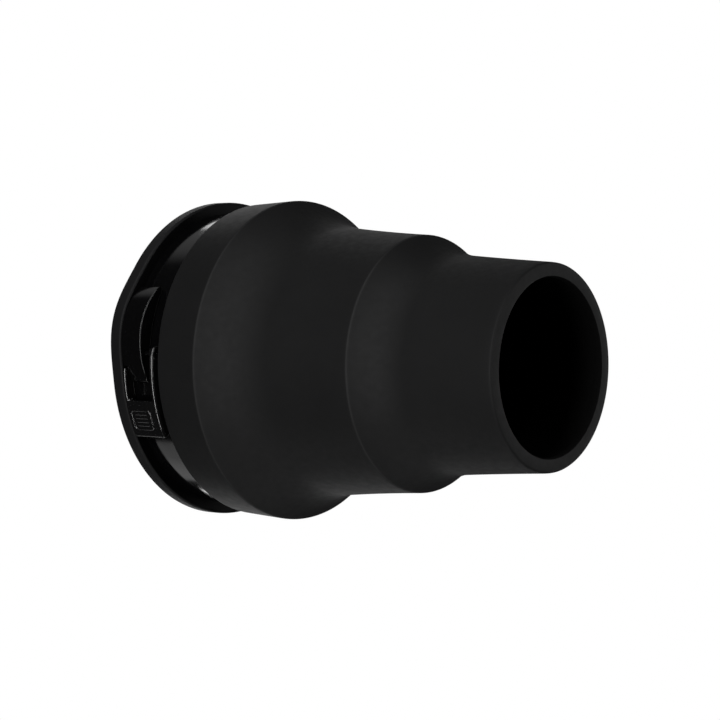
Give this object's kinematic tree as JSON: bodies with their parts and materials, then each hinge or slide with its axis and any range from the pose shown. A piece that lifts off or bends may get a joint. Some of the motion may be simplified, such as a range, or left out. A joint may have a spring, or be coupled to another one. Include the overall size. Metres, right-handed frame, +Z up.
{
  "type": "snoot",
  "caption": "Stepped black silicone light snoot with a round mount ring, rolling shoulders that let it collapse, and a lever-worked cam lock.",
  "frame": {"origin": "centre of the mount ring's bore at the rear face of the flange, where the light head's collar enters", "axes": "+X along the light beam, from the mount flange to the mouth; +Z up; the cam lock and its lever are at the -Y side"},
  "size_m": [0.1493, 0.119, 0.1174],
  "materials": {
    "flange_plastic": "fine matte black moulding",
    "gloss_plastic": "glossy black moulding",
    "silicone": "soft matte black silicone",
    "lever_plastic": "satin black moulding",
    "pin_steel": "ground steel",
    "cam_steel": "hardened steel",
    "jaw_nylon": "dark glass-filled nylon",
    "spring_steel": "spring wire",
    "grip_rubber": "matte black rubber",
    "screw_steel": "black oxide steel"
  },
  "bodies": {
    "mount": {"rear_flange": "flange_plastic", "mount_ring": "gloss_plastic", "base_sleeve": "silicone", "rear_shoulder": "silicone", "latch_housing": "gloss_plastic", "jaw_spring": "spring_steel", "grip_pad_1": "grip_rubber", "grip_pad_2": "grip_rubber", "grip_pad_3": "grip_rubber", "flange_screw_1": "screw_steel", "flange_screw_2": "screw_steel", "flange_screw_3": "screw_steel", "flange_screw_4": "screw_steel", "flange_screw_5": "screw_steel", "flange_screw_6": "screw_steel", "housing_screw_1": "screw_steel", "housing_screw_2": "screw_steel"},
    "lever": {"latch_lever": "lever_plastic", "lever_pin": "pin_steel", "lock_cam": "cam_steel"},
    "jaw": {"locking_jaw": "jaw_nylon"},
    "middle": {"middle_stage": "silicone", "front_shoulder": "silicone"},
    "mouth": {"mouth_stage": "silicone"}
  },
  "joints": [
    {"name": "lever_hinge", "type": "hinge", "parent": "mount", "child": "lever", "pos_m": [0.0131, -0.0567, 0], "axis": [-1, 0, 0], "range_deg": [0, 70]},
    {"name": "jaw_slide", "type": "slide", "parent": "mount", "child": "jaw", "axis": [0, -1, 0], "range_m": [0, 0.00095], "deforming": ["jaw_spring"]},
    {"name": "middle_collapse", "type": "slide", "parent": "mount", "child": "middle", "axis": [-1, 0, 0], "range_m": [0, 0.032], "deforming": ["rear_shoulder"]},
    {"name": "front_collapse", "type": "slide", "parent": "middle", "child": "mouth", "axis": [-1, 0, 0], "range_m": [0, 0.03], "deforming": ["front_shoulder"]}
  ],
  "couplings": [
    {"joint": "jaw_slide", "follows": "lever_hinge", "m_per_rad": 0.0007694}
  ]
}
